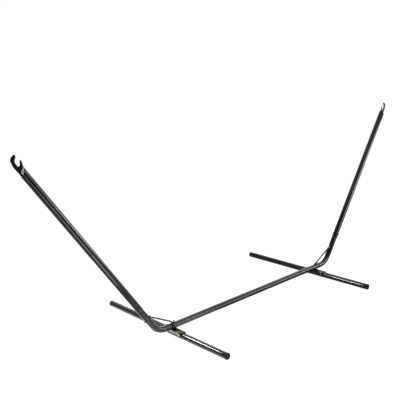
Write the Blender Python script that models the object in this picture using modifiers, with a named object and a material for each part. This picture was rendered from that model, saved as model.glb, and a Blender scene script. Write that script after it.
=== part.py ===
"""Knock-down steel hammock stand: a straight beam, two bent tubes and two raised arms with hooks, on two
cross feet. The beam runs along X, the feet along Y, and the soles of the foot caps stand on Z = 0. The
origin is on the ground at the middle of the two feet. Lengths are in metres."""

import math

import bmesh
import bpy
from mathutils import Matrix, Vector

# --- Driving dimensions -------------------------------------------------------------------------------

GAP = 0.0003                # clearance that pieces in contact keep

FOOT_LENGTH = 1.200         # over the end caps
FOOT_SPACING = 1.503        # between the two feet, centre to centre
BEAM_SHIFT = 0.108          # the beam lies this far in front of the middle of the feet
TUBE_DIAMETER = 0.042       # beam, bend and foot tubes
ARM_DIAMETER = 0.0445
WALL = 0.0015

SOLE_DEPTH = 0.0213         # foot axis above the ground
BEAM_RISE = 0.0465          # beam axis above the foot axis
CORNER_X = 0.884            # where the beam's axis and the arm's axis would cross
ARM_ANGLE = math.radians(55.2)
ARM_REACH = 1.414           # from that corner to the middle of the arm's end, along the arm
BEND_RADIUS = 0.120
BEND_STEPS = 10

BEAM_END_X = 0.780          # the beam sleeves over the bend tube up to here
SPIGOT_LENGTH = 0.100       # narrowed end of a bend tube inside the beam
ARM_START = 0.228           # lower end of the arm tube, from the corner
ARM_SPIGOT_LENGTH = 0.090
SWAGE_LENGTH = 0.002        # step from full diameter to spigot

CAP_DIAMETER = 0.0434       # rim of the plug that closes each end of a foot
CAP_RIM = 0.007             # its length outside the tube
CAP_ROUND = 0.003
CAP_PLUG_LENGTH = 0.024
CAP_WALL = 0.0025

SADDLE_LENGTH = 0.180
SADDLE_SHEET = 0.0025
SADDLE_LEG_BELOW_AXIS = 0.008
SADDLE_BEND_RADIUS = 0.008
SADDLE_BOLT_Y = 0.078       # cross bolts, either side of the beam
SADDLE_BOLT_RISE = 0.009    # above the foot's axis

BRACE_DIAMETER = 0.012
BRACE_FOOT = 0.123          # where the brace rod leaves the tubes, from the corner
BRACE_STANDOFF = 0.0065     # rod axis above the tube there
BRACE_BOLT = CORNER_X - FOOT_SPACING / 2
TAB_THICKNESS = 0.004
TAB_WIDTH = 0.020
TAB_LENGTH = 0.034
TAB_CORNER = 0.0095         # rounding of the tabs' ends

JOINT_BOLT = 0.262          # arm joint bolt, from the corner

M8 = {"radius": 0.004, "flats": 0.013, "head": 0.0053, "nut": 0.0065}
M6 = {"radius": 0.003, "flats": 0.010, "head": 0.0040, "nut": 0.0050}
WASHER_DIAMETER = 0.017
WASHER_THICKNESS = 0.0016
BOLT_TAIL = 0.0025          # thread showing past a nut

HOOK_THICKNESS = 0.006
HOOK_EDGE = 0.0012          # rounding of the hook's edges
TONGUE_LENGTH = 0.056       # part of the hook inside the arm
TONGUE_INNER = -0.012       # its two edges, across the arm
TONGUE_OUTER = 0.0192
NECK_INNER = 0.0100         # the neck runs from here to the tongue's outer edge
SLOT_BESIDE_RIM = 0.0015    # gap between hook and tube at the inner side of the arm
SLOT_SPREAD = 0.20          # and how much it widens outward, per unit of length
END_CUT_BACK = 0.0075       # the arm's slanted end crosses the axis this far below its reference point
END_CUT_SLANT = math.atan2(0.035, 0.0445)
PLUG_LENGTH = 0.070
PLUG_DEPTH = 0.002          # the plug's face lies this far inside the slanted end
CUTTER_REACH = 0.04         # how far raw tubes and cutters run on past a cut

TUBE_SIDES = 28
BOLT_SIDES = 16

# --- Places worked out from them ----------------------------------------------------------------------

TUBE_RADIUS = TUBE_DIAMETER / 2
ARM_RADIUS = ARM_DIAMETER / 2
FOOT_X = FOOT_SPACING / 2
BEAM_Y = -BEAM_SHIFT
FOOT_Z = SOLE_DEPTH
BEAM_Z = FOOT_Z + BEAM_RISE
BEAM_TOP = BEAM_Z + TUBE_RADIUS
BEAM_UNDERSIDE = BEAM_Z - TUBE_RADIUS
BEND_TANGENT = BEND_RADIUS * math.tan(ARM_ANGLE / 2)

ACROSS = Vector((0, 1, 0))
UP = Vector((0, 0, 1))


def arm_frame(side):
    """Corner of one end: local X runs up the arm, local Y out of the bend, local Z level."""
    along = Vector((side * math.cos(ARM_ANGLE), 0, math.sin(ARM_ANGLE)))
    outward = Vector((side * math.sin(ARM_ANGLE), 0, -math.cos(ARM_ANGLE)))
    frame = Matrix((along, outward, along.cross(outward))).transposed().to_4x4()
    frame.translation = (side * CORNER_X, BEAM_Y, BEAM_Z)
    return frame


def aim(direction):
    """Rotation that turns local +Z to a direction."""
    return Vector(direction).to_track_quat("Z", "Y").to_matrix().to_4x4()


# --- Scene --------------------------------------------------------------------------------------------

for old in list(bpy.data.objects):
    bpy.data.objects.remove(old, do_unlink=True)

parts = bpy.data.collections.new("hammock_stand")
cutters = bpy.data.collections.new("cutters")
for collection in (parts, cutters):
    bpy.context.scene.collection.children.link(collection)


def paint(name, colour, roughness, metallic):
    material = bpy.data.materials.new(name)
    material.use_nodes = True
    shader = material.node_tree.nodes["Principled BSDF"]
    shader.inputs["Base Color"].default_value = (*colour, 1.0)
    shader.inputs["Roughness"].default_value = roughness
    shader.inputs["Metallic"].default_value = metallic
    return material


BLACK_COAT = paint("black_powder_coat", (0.028, 0.030, 0.031), 0.32, 0.0)
BLACK_PLASTIC = paint("black_plastic", (0.012, 0.012, 0.013), 0.45, 0.0)
PALE_PLASTIC = paint("pale_plastic", (0.75, 0.76, 0.75), 0.42, 0.0)
HOOK_COAT = paint("hook_coating", (0.010, 0.010, 0.011), 0.38, 0.0)
BLACK_STEEL = paint("blackened_steel", (0.035, 0.035, 0.037), 0.35, 0.8)
ZINC = paint("zinc_plate", (0.72, 0.73, 0.74), 0.30, 1.0)


def add(name, mesh, material, matrix=None, collection=parts):
    piece = bpy.data.objects.new(name, mesh)
    collection.objects.link(piece)
    if matrix is not None:
        piece.matrix_world = matrix
    if material:
        mesh.materials.clear()
        mesh.materials.append(material)
    return piece


def add_cutter(name, mesh, matrix=None):
    tool = add(name, mesh, None, matrix, cutters)
    tool.hide_render = True
    tool.display_type = "WIRE"
    return tool


def combine(piece, tool, operation="DIFFERENCE"):
    change = piece.modifiers.new(tool.name, "BOOLEAN")
    change.operation = operation
    change.solver = "EXACT"
    change.object = tool


def evaluated_mesh(piece):
    """The piece's mesh with its modifiers applied, and the piece itself removed."""
    bpy.context.view_layer.update()
    graph = bpy.context.evaluated_depsgraph_get()
    mesh = bpy.data.meshes.new_from_object(piece.evaluated_get(graph))
    bpy.data.objects.remove(piece, do_unlink=True)
    return mesh


def weld(mesh):
    shape = bmesh.new()
    shape.from_mesh(mesh)
    bmesh.ops.remove_doubles(shape, verts=shape.verts, dist=1e-6)
    bmesh.ops.recalc_face_normals(shape, faces=shape.faces)
    shape.to_mesh(mesh)
    shape.free()
    return mesh


def smooth(mesh, angle=math.radians(40)):
    mesh.shade_smooth()
    mesh.set_sharp_from_angle(angle=angle)
    return mesh


# --- Shapes -------------------------------------------------------------------------------------------


def rod_mesh(points, radii, sides=TUBE_SIDES):
    """Round bar along the points, with its radius at each of them."""
    curve = bpy.data.curves.new("rod", "CURVE")
    curve.dimensions = "3D"
    spline = curve.splines.new("POLY")
    spline.points.add(len(points) - 1)
    full = max(radii)
    for knot, point, radius in zip(spline.points, points, radii):
        knot.co = (*point, 1.0)
        knot.radius = radius / full
    curve.bevel_depth = full
    curve.bevel_resolution = (sides - 4) // 2
    curve.use_fill_caps = True
    mesh = evaluated_mesh(add("rod", curve, None, None, cutters))
    return smooth(weld(mesh))


def cylinder_mesh(radius, length, sides=BOLT_SIDES):
    """Cylinder from Z = 0 down to Z = -length."""
    shape = bmesh.new()
    bmesh.ops.create_cone(
        shape, cap_ends=True, segments=sides, radius1=radius, radius2=radius, depth=length,
        matrix=Matrix.Translation((0, 0, -length / 2)),
    )
    mesh = bpy.data.meshes.new("cylinder")
    shape.to_mesh(mesh)
    shape.free()
    return smooth(mesh)


def box_mesh(size):
    shape = bmesh.new()
    bmesh.ops.create_cube(shape, size=1.0, matrix=Matrix.Diagonal((*size, 1.0)))
    mesh = bpy.data.meshes.new("box")
    shape.to_mesh(mesh)
    shape.free()
    return mesh


def plate_mesh(outlines, thickness, edge=0.0):
    """Flat plate in the XY plane, centred on Z = 0. Outlines after the first are holes."""
    curve = bpy.data.curves.new("plate", "CURVE")
    curve.dimensions = "2D"
    curve.fill_mode = "BOTH"
    curve.extrude = thickness / 2 - edge
    curve.bevel_depth = edge
    curve.bevel_resolution = 1
    curve.offset = -edge
    for outline in outlines:
        spline = curve.splines.new("POLY")
        spline.points.add(len(outline) - 1)
        for knot, (x, y) in zip(spline.points, outline):
            knot.co = (x, y, 0.0, 1.0)
        spline.use_cyclic_u = True
    mesh = evaluated_mesh(add("plate", curve, None, None, cutters))
    return smooth(weld(mesh))


def rounded(corners, steps=4):
    """Outline through corners (x, y, radius), each turned as an arc of that radius."""
    outline = []
    count = len(corners)
    for i, (x, y, radius) in enumerate(corners):
        corner = Vector((x, y))
        before = (Vector(corners[i - 1][:2]) - corner).normalized()
        after = (Vector(corners[(i + 1) % count][:2]) - corner).normalized()
        if radius <= 0:
            outline.append((x, y))
            continue
        half = before.angle(after) / 2
        middle = corner + (before + after).normalized() * (radius / math.sin(half))
        start = corner + before * (radius / math.tan(half)) - middle
        end = corner + after * (radius / math.tan(half)) - middle
        turn = start.angle_signed(end)
        for k in range(steps + 1):
            spoke = start.copy()
            spoke.rotate(Matrix.Rotation(-turn * k / steps, 2))
            outline.append(tuple(middle + spoke))
    return outline


def bolt_mesh(thread, length):
    """Hex bolt: the underside of its head is at Z = 0 and the shank runs down."""
    head = add("head", cylinder_mesh(thread["flats"] / math.sqrt(3), thread["head"], 6), None,
               Matrix.Translation((0, 0, thread["head"])), cutters)
    shank = add_cutter("shank", cylinder_mesh(thread["radius"], length + thread["head"] / 2),
                       Matrix.Translation((0, 0, thread["head"] / 2)))
    combine(head, shank, "UNION")
    bpy.context.view_layer.update()
    placed = head.matrix_world.copy()
    mesh = evaluated_mesh(head)
    mesh.transform(placed)
    bpy.data.objects.remove(shank, do_unlink=True)
    return smooth(mesh)


def ring_mesh(outer, inner, height, sides):
    """Nut or washer with its upper face at Z = 0."""
    ring = add("ring", cylinder_mesh(outer, height, sides), None, None, cutters)
    bore = add_cutter("bore", cylinder_mesh(inner, 3 * height), Matrix.Translation((0, 0, height)))
    combine(ring, bore)
    mesh = evaluated_mesh(ring)
    bpy.data.objects.remove(bore, do_unlink=True)
    return smooth(mesh)


def nut_mesh(thread):
    return ring_mesh(thread["flats"] / math.sqrt(3), thread["radius"] + GAP, thread["nut"], 6)


def tube(name, points, radii, reach=CUTTER_REACH):
    """Open round tube: the bar along the points less the bore, which runs out past both ends."""
    piece = add(name, rod_mesh(points, radii), BLACK_COAT)
    first, last = Vector(points[0]), Vector(points[-1])
    inside = [first + (first - Vector(points[1])).normalized() * reach]
    inside += [Vector(p) for p in points[1:-1]]
    inside.append(last + (last - Vector(points[-2])).normalized() * reach)
    bore = rod_mesh(inside, [r - WALL for r in radii])
    combine(piece, add_cutter(name + "_bore", bore))
    return piece


def hole(name, centre, direction, radius, length=3 * TUBE_DIAMETER):
    """Cutter for a round hole through the centre point, along a direction."""
    place = Matrix.Translation(centre) @ aim(direction) @ Matrix.Translation((0, 0, length / 2))
    return add_cutter(name + "_hole", cylinder_mesh(radius + GAP, length), place)


def fasten(name, mesh, material, seat, direction):
    """Places a bolt, nut or washer whose seat is at a point and whose top faces a direction."""
    return add(name, mesh, material, Matrix.Translation(seat) @ aim(direction))


# --- Beam, bends and arms -----------------------------------------------------------------------------


def bend_path(side):
    """Centre line of a bend tube from its end in the beam to its end in the arm, with the radii."""
    spigot = TUBE_RADIUS - WALL - GAP
    arm_spigot = ARM_RADIUS - WALL - GAP
    start = CORNER_X - BEND_TANGENT
    flat = [(BEAM_END_X - SPIGOT_LENGTH, spigot), (BEAM_END_X + GAP, spigot),
            (BEAM_END_X + SWAGE_LENGTH, TUBE_RADIUS)]
    points = [Vector((side * x, BEAM_Y, BEAM_Z)) for x, _ in flat]
    radii = [radius for _, radius in flat]
    for k in range(1, BEND_STEPS + 1):
        turn = ARM_ANGLE * k / BEND_STEPS
        x = start + BEND_RADIUS * math.sin(turn)
        z = BEAM_Z + BEND_RADIUS * (1 - math.cos(turn))
        points.append(Vector((side * x, BEAM_Y, z)))
        radii.append(TUBE_RADIUS)
    frame = arm_frame(side)
    for along, radius in ((ARM_START - SWAGE_LENGTH, TUBE_RADIUS), (ARM_START - GAP, arm_spigot),
                          (ARM_START + ARM_SPIGOT_LENGTH, arm_spigot)):
        points.append(frame @ Vector((along, 0, 0)))
        radii.append(radius)
    return points, radii


def end_cut(side, clearance=0.0):
    """Block beyond the arm's slanted end, moved back down the arm by a clearance."""
    size = 4 * CUTTER_REACH
    face = Matrix.Translation((ARM_REACH - END_CUT_BACK - clearance, 0, 0))
    slant = Matrix.Rotation(END_CUT_SLANT, 4, "Z")
    return arm_frame(side) @ face @ slant @ Matrix.Translation((size / 2, 0, 0)), (size,) * 3


# --- Hook outline, in the arm's plane: x up the arm from the middle of its end, y outward --------------


def end_height(y):
    """Where the arm's slanted end crosses the line at y."""
    return -END_CUT_BACK - y * math.tan(END_CUT_SLANT)


def slot_height(y):
    """Lower edge of the hook above the slot that runs in from the arm's inner side."""
    return end_height(y) + SLOT_BESIDE_RIM + SLOT_SPREAD * (y + ARM_RADIUS)


def hook_outline():
    tongue_end = end_height(0) - TONGUE_LENGTH
    return rounded([
        (tongue_end, TONGUE_INNER, 0.004),
        (end_height(TONGUE_INNER) - PLUG_DEPTH, TONGUE_INNER, 0.001),
        (end_height(NECK_INNER) - PLUG_DEPTH, NECK_INNER, 0.001),
        (slot_height(NECK_INNER), NECK_INNER, 0.002),
        (slot_height(-ARM_RADIUS), -ARM_RADIUS, 0.002),
        (0.028, -0.0300, 0.012),
        (0.047, -0.0350, 0.0022),
        (0.042, -0.0255, 0.005),
        (0.0245, -0.0130, 0.006),
        (0.0245, 0.0010, 0.007),
        (0.058, -0.0010, 0.020),
        (0.075, -0.0250, 0.007),
        (0.090, -0.0270, 0.0065),
        (0.087, 0.0100, 0.026),
        (0.040, 0.0210, 0.040),
        (end_height(TONGUE_OUTER), TONGUE_OUTER, 0.008),
        (tongue_end, TONGUE_OUTER, 0.004),
    ])


# --- Shared fastener meshes ---------------------------------------------------------------------------

main_seat = BEAM_TOP + TAB_THICKNESS + WASHER_THICKNESS + 3 * GAP
main_nut_top = FOOT_Z + math.sqrt((TUBE_RADIUS - WALL) ** 2 - M8["flats"] ** 2 / 3) - 2 * GAP
main_length = main_seat - main_nut_top + M8["nut"] + BOLT_TAIL
brace_length = TUBE_DIAMETER + TAB_THICKNESS + M8["nut"] + BOLT_TAIL + 4 * GAP
arm_length = ARM_DIAMETER + M8["nut"] + BOLT_TAIL + 2 * GAP
saddle_outer = TUBE_RADIUS + GAP + SADDLE_SHEET
saddle_length = 2 * saddle_outer + M6["nut"] + BOLT_TAIL + 2 * GAP

MAIN_BOLT = bolt_mesh(M8, main_length)
BRACE_BOLT_MESH = bolt_mesh(M8, brace_length)
ARM_BOLT = bolt_mesh(M8, arm_length)
SADDLE_BOLT = bolt_mesh(M6, saddle_length)
M8_NUT = nut_mesh(M8)
M6_NUT = nut_mesh(M6)
WASHER = ring_mesh(WASHER_DIAMETER / 2, M8["radius"] + GAP, WASHER_THICKNESS, BOLT_SIDES)

# --- Assembly -----------------------------------------------------------------------------------------

beam = tube("centre_beam", [(-BEAM_END_X, BEAM_Y, BEAM_Z), (BEAM_END_X, BEAM_Y, BEAM_Z)],
            [TUBE_RADIUS] * 2)


def make_brace(label, side, frame):
    """Round rod across the inside of the bend, with a flat bolted tab at each end."""
    inner = -(TUBE_RADIUS + BRACE_STANDOFF)
    low = Vector((side * (CORNER_X - BRACE_FOOT), BEAM_Y, BEAM_TOP + BRACE_STANDOFF))
    high = frame @ Vector((BRACE_FOOT, inner, 0))
    rod = add(label + "_brace_rod", rod_mesh([low, high], [BRACE_DIAMETER / 2] * 2, 20), BLACK_COAT)
    mid_height = GAP + TAB_THICKNESS / 2
    past_bolt = TAB_LENGTH / 2 - TAB_WIDTH / 2
    flat = Matrix.Translation((side * (FOOT_X + past_bolt), BEAM_Y, BEAM_TOP + mid_height))
    raised = frame @ Matrix.Translation((BRACE_BOLT - past_bolt, -(TUBE_RADIUS + mid_height), 0))
    turned = raised @ Matrix.Rotation(math.pi / 2, 4, "X")
    ends = rounded([(x * TAB_LENGTH / 2, y * TAB_WIDTH / 2, TAB_CORNER)
                    for x, y in ((-1, -1), (1, -1), (1, 1), (-1, 1))])
    for place, matrix in (("low", flat), ("high", turned)):
        tab = add_cutter(f"{label}_{place}_tab", plate_mesh([ends], TAB_THICKNESS), matrix)
        combine(rod, tab, "UNION")
    return rod


def make_foot(label, side):
    half = FOOT_LENGTH / 2 - CAP_RIM - GAP
    foot = tube(label + "_foot_tube", [(side * FOOT_X, -half, FOOT_Z), (side * FOOT_X, half, FOOT_Z)],
                [TUBE_RADIUS] * 2)
    ground = add_cutter(label + "_ground", box_mesh((2 * CAP_DIAMETER, 2 * FOOT_LENGTH, CUTTER_REACH)),
                        Matrix.Translation((side * FOOT_X, 0, -CUTTER_REACH / 2)))
    for end, way in (("front", -1), ("rear", 1)):
        place = Matrix.Translation((side * FOOT_X, way * FOOT_LENGTH / 2, FOOT_Z)) @ aim((0, way, 0))
        cap = add(f"{label}_{end}_foot_cap", cap_profile(), BLACK_PLASTIC, place)
        spin = cap.modifiers.new("spin", "SCREW")
        spin.steps = spin.render_steps = TUBE_SIDES
        spin.use_merge_vertices = True
        spin.merge_threshold = 0.00001
        combine(cap, ground)
    return foot


def cap_profile():
    """Half section of a foot plug: its closed end is at Z = 0 and its mouth faces down."""
    radius = CAP_DIAMETER / 2
    body = TUBE_RADIUS - WALL - GAP
    bottom = -CAP_RIM - CAP_PLUG_LENGTH
    points = [(0, 0)]
    for k in range(4):
        turn = math.pi / 2 * k / 3
        points.append((radius - CAP_ROUND * (1 - math.sin(turn)), -CAP_ROUND * (1 - math.cos(turn))))
    points += [(radius, -CAP_RIM), (body, -CAP_RIM), (body, bottom), (body - CAP_WALL, bottom),
               (body - CAP_WALL, -CAP_WALL), (0, -CAP_WALL)]
    mesh = bpy.data.meshes.new("cap_profile")
    mesh.from_pydata([(x, 0, z) for x, z in points], [(i, i + 1) for i in range(len(points) - 1)], [])
    return mesh


def make_saddle(label, side):
    """Folded channel that straddles the foot and carries the beam."""
    top = BEAM_UNDERSIDE - GAP - FOOT_Z
    inside = saddle_outer - SADDLE_SHEET
    low = -SADDLE_LEG_BELOW_AXIS
    outline = rounded([
        (-saddle_outer, low, 0), (-inside, low, 0), (-inside, top - SADDLE_SHEET, SADDLE_BEND_RADIUS),
        (inside, top - SADDLE_SHEET, SADDLE_BEND_RADIUS), (inside, low, 0), (saddle_outer, low, 0),
        (saddle_outer, top, SADDLE_BEND_RADIUS + SADDLE_SHEET),
        (-saddle_outer, top, SADDLE_BEND_RADIUS + SADDLE_SHEET),
    ])
    place = Matrix.Translation((side * FOOT_X, BEAM_Y, FOOT_Z)) @ Matrix.Rotation(math.pi / 2, 4, "X")
    return add(label + "_saddle", plate_mesh([outline], SADDLE_LENGTH), BLACK_COAT, place)


for label, side in (("left", -1), ("right", 1)):
    frame = arm_frame(side)
    along, outward = frame.col[0].xyz, frame.col[1].xyz

    # Tubes
    bend = tube(label + "_bend_tube", *bend_path(side))
    low_end = frame @ Vector((ARM_START, 0, 0))
    high_end = frame @ Vector((ARM_REACH + CUTTER_REACH, 0, 0))
    arm = tube(label + "_arm_tube", [low_end, high_end], [ARM_RADIUS] * 2)
    cut_place, cut_size = end_cut(side)
    combine(arm, add_cutter(label + "_arm_end", box_mesh(cut_size), cut_place))

    # Brace over the inside of the bend
    brace = make_brace(label, side, frame)

    # Foot, its caps and its saddle
    foot = make_foot(label, side)
    saddle = make_saddle(label, side)

    # Main bolt, down through brace, beam, bend tube, saddle and the foot's upper wall: the foot turns
    # about it, with its nut held inside the foot
    main_centre = Vector((side * FOOT_X, BEAM_Y, BEAM_Z))
    main_hole = hole(label + "_main", main_centre, UP, M8["radius"], 2 * BEAM_RISE)
    for piece in (brace, beam, bend, saddle, foot):
        combine(piece, main_hole)
    for name, mesh, material, seat in (("washer", WASHER, ZINC, main_seat - GAP),
                                       ("bolt", MAIN_BOLT, BLACK_STEEL, main_seat),
                                       ("nut", M8_NUT, ZINC, main_nut_top)):
        fasten(f"{label}_main_{name}", mesh, material, Vector((side * FOOT_X, BEAM_Y, seat)), UP)

    # Upper brace bolt, square through the bend tube
    brace_centre = frame @ Vector((BRACE_BOLT, 0, 0))
    brace_hole = hole(label + "_brace", brace_centre, outward, M8["radius"])
    for piece in (brace, bend):
        combine(piece, brace_hole)
    head_seat = brace_centre - outward * (TUBE_RADIUS + TAB_THICKNESS + 2 * GAP)
    fasten(label + "_brace_bolt", BRACE_BOLT_MESH, ZINC, head_seat, -outward)
    fasten(label + "_brace_nut", M8_NUT, ZINC, brace_centre + outward * (TUBE_RADIUS + GAP), -outward)

    # Arm joint bolt, level through arm and bend tube
    joint_centre = frame @ Vector((JOINT_BOLT, 0, 0))
    joint_hole = hole(label + "_joint", joint_centre, ACROSS, M8["radius"])
    for piece in (arm, bend):
        combine(piece, joint_hole)
    fasten(label + "_joint_bolt", ARM_BOLT, BLACK_STEEL, joint_centre - ACROSS * (ARM_RADIUS + GAP), -ACROSS)
    fasten(label + "_joint_nut", M8_NUT, ZINC, joint_centre + ACROSS * (ARM_RADIUS + GAP), -ACROSS)

    # Cross bolts through saddle and foot
    for end, way in (("front", -1), ("rear", 1)):
        centre = Vector((side * FOOT_X, BEAM_Y + way * SADDLE_BOLT_Y, FOOT_Z + SADDLE_BOLT_RISE))
        across = Vector((1, 0, 0))
        cross_hole = hole(f"{label}_{end}_saddle", centre, across, M6["radius"])
        for piece in (foot, saddle):
            combine(piece, cross_hole)
        seat = saddle_outer + GAP
        fasten(f"{label}_{end}_saddle_bolt", SADDLE_BOLT, ZINC, centre - across * seat, -across)
        fasten(f"{label}_{end}_saddle_nut", M6_NUT, ZINC, centre + across * seat, -across)

    # Hook plate, and the plug that closes the arm around its tongue
    arm_end = frame @ Matrix.Translation((ARM_REACH, 0, 0))
    add(label + "_hook", plate_mesh([hook_outline()], HOOK_THICKNESS, HOOK_EDGE), HOOK_COAT, arm_end)
    plug_top = frame @ Vector((ARM_REACH + CUTTER_REACH, 0, 0))
    plug_low = frame @ Vector((ARM_REACH - END_CUT_BACK - PLUG_LENGTH, 0, 0))
    plug = add(label + "_arm_plug", rod_mesh([plug_low, plug_top], [ARM_RADIUS - WALL - GAP] * 2),
               PALE_PLASTIC)
    plug_cut, plug_size = end_cut(side, PLUG_DEPTH)
    combine(plug, add_cutter(label + "_plug_end", box_mesh(plug_size), plug_cut))
    slot_low = Vector((end_height(0) - TONGUE_LENGTH - GAP, TONGUE_INNER - GAP, 0))
    slot_size = Vector((TONGUE_LENGTH + 2 * CUTTER_REACH, CUTTER_REACH, HOOK_THICKNESS + 2 * GAP))
    slot_middle = slot_low + Vector((slot_size.x / 2, slot_size.y / 2, 0))
    combine(plug, add_cutter(label + "_plug_slot", box_mesh(slot_size),
                             arm_end @ Matrix.Translation(slot_middle)))
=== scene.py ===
"""Looks for the steel hammock stand: smooth coated tubes, forged braces, real fasteners, moulded caps.

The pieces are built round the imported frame. Their places and most of their outer sizes are read from the
boxes of the CAD nodes that they stand for, and dimensions that no box shows repeat those of the CAD.
Lengths are in metres."""

import math

import bmesh
import bpy
from mathutils import Matrix, Vector


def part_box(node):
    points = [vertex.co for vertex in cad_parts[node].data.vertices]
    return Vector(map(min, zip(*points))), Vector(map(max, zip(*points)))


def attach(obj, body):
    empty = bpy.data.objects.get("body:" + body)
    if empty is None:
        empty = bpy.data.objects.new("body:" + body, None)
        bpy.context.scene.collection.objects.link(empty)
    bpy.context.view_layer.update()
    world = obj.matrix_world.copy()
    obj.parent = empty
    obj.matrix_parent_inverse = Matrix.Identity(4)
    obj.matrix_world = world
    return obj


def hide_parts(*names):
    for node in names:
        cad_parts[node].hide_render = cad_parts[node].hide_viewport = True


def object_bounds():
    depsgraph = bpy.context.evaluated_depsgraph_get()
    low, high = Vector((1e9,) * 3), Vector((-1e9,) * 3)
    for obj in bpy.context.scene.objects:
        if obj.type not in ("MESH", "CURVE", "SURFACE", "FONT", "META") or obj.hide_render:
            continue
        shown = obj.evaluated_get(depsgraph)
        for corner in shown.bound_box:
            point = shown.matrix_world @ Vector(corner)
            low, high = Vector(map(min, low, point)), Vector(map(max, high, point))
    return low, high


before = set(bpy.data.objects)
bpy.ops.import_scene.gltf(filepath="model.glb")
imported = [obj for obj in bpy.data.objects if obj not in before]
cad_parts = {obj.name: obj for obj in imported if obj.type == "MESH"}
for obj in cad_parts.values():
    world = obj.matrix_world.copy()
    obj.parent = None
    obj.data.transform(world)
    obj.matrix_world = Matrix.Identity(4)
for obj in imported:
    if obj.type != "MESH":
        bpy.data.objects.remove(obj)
cad_low, cad_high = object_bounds()

SIDES = (("left", -1), ("right", 1))
ENDS = (("front", -1), ("rear", 1))
ACROSS = Vector((0, 1, 0))
UP = Vector((0, 0, 1))

TUBE_SIDES = 96
HOLE_SIDES = 48
LIP_STEPS = 5               # arc steps round the lip at the end of a tube's wall
CORNER_STEPS = 10           # arc steps in a rounded corner of an outline
DRILL_LENGTH = 0.12         # long enough to pass through any tube
WALL = 0.0015               # tube wall
GAP = 0.0003                # clearance that the CAD pieces keep
NO_RADIUS = 1e-7            # radius of a ring that closes on its axis
OPEN_RING = 1e-5            # a ring wider than this gets an end face
WELD = 1e-6                 # points nearer than this become one
DEGENERATE = 1e-7           # edges shorter than this are dissolved
SHARP = math.radians(38)    # edges that turn by more than this stay hard

# --- Camera -------------------------------------------------------------------------------------------

CAMERA_PLACE = (-3.067, -2.950, 1.747)
CAMERA_YAW = math.radians(42.31)      # from +Y towards +X
CAMERA_PITCH = math.radians(13.11)    # downwards
CAMERA_ROLL = math.radians(-2.17)
CAMERA_LENS = 54.73                   # millimetres, as is the sensor
CAMERA_SENSOR = 36.0

camera_data = bpy.data.cameras.new("camera")
camera_data.lens = CAMERA_LENS
camera_data.sensor_width = CAMERA_SENSOR
camera = bpy.data.objects.new("camera", camera_data)
bpy.context.scene.collection.objects.link(camera)
camera.matrix_world = (
    Matrix.Translation(CAMERA_PLACE)
    @ Matrix.Rotation(-CAMERA_YAW, 4, "Z")
    @ Matrix.Rotation(math.pi / 2 - CAMERA_PITCH, 4, "X")
    @ Matrix.Rotation(CAMERA_ROLL, 4, "Z")
)
bpy.context.scene.camera = camera

# --- Materials ----------------------------------------------------------------------------------------


class Nodes:
    """A material's node tree with a short way to add nodes and links."""

    def __init__(self, name):
        self.material = bpy.data.materials.new(name)
        self.material.use_nodes = True
        self.tree = self.material.node_tree
        self.shader = self.tree.nodes["Principled BSDF"]
        self.place = self.add("ShaderNodeTexCoord").outputs["Object"]

    def add(self, kind, **values):
        node = self.tree.nodes.new(kind)
        for key, value in values.items():
            setattr(node, key, value)
        return node

    def link(self, source, target):
        self.tree.links.new(source, target)

    def noise(self, scale, detail):
        """Noise with its scale in cells per metre and its octaves of detail."""
        node = self.add("ShaderNodeTexNoise")
        node.inputs["Scale"].default_value = scale
        node.inputs["Detail"].default_value = detail
        self.link(self.place, node.inputs["Vector"])
        return node.outputs["Fac"]

    def spread(self, source, low, high, start=0.3, end=0.7):
        """Maps a source from start..end to low..high."""
        node = self.add("ShaderNodeMapRange", clamp=True)
        for name, value in (("From Min", start), ("From Max", end), ("To Min", low), ("To Max", high)):
            node.inputs[name].default_value = value
        self.link(source, node.inputs["Value"])
        return node.outputs["Result"]

    def ramp(self, source, stops):
        node = self.add("ShaderNodeValToRGB")
        band = node.color_ramp
        while len(band.elements) < len(stops):
            band.elements.new(0.5)
        for element, (position, colour) in zip(band.elements, stops):
            element.position = position
            element.color = (*colour, 1.0)
        self.link(source, node.inputs["Fac"])
        return node.outputs["Color"]

    def mix(self, factor, first, second):
        """Colour that goes from first to second; either is a colour or a socket."""
        node = self.add("ShaderNodeMix", data_type="RGBA")
        self.link(factor, node.inputs["Factor"])
        for name, value in (("A", first), ("B", second)):
            socket = next(s for s in node.inputs if s.name == name and s.type == "RGBA")
            if isinstance(value, tuple):
                socket.default_value = (*value, 1.0)
            else:
                self.link(value, socket)
        return next(s for s in node.outputs if s.type == "RGBA")

    def edges(self, low, high):
        """From 0 on flat ground to 1 on a convex edge."""
        return self.spread(self.add("ShaderNodeNewGeometry").outputs["Pointiness"], 0.0, 1.0, low, high)

    def bump(self, layers):
        """Stacks bump layers, each a height source with its depth in metres and its strength."""
        normal = None
        for height, depth, strength in layers:
            node = self.add("ShaderNodeBump")
            node.inputs["Distance"].default_value = depth
            node.inputs["Strength"].default_value = strength
            self.link(height, node.inputs["Height"])
            if normal:
                self.link(normal, node.inputs["Normal"])
            normal = node.outputs["Normal"]
        self.link(normal, self.shader.inputs["Normal"])

    def set(self, **values):
        for name, value in values.items():
            self.shader.inputs[name.replace("_", " ")].default_value = value


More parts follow.
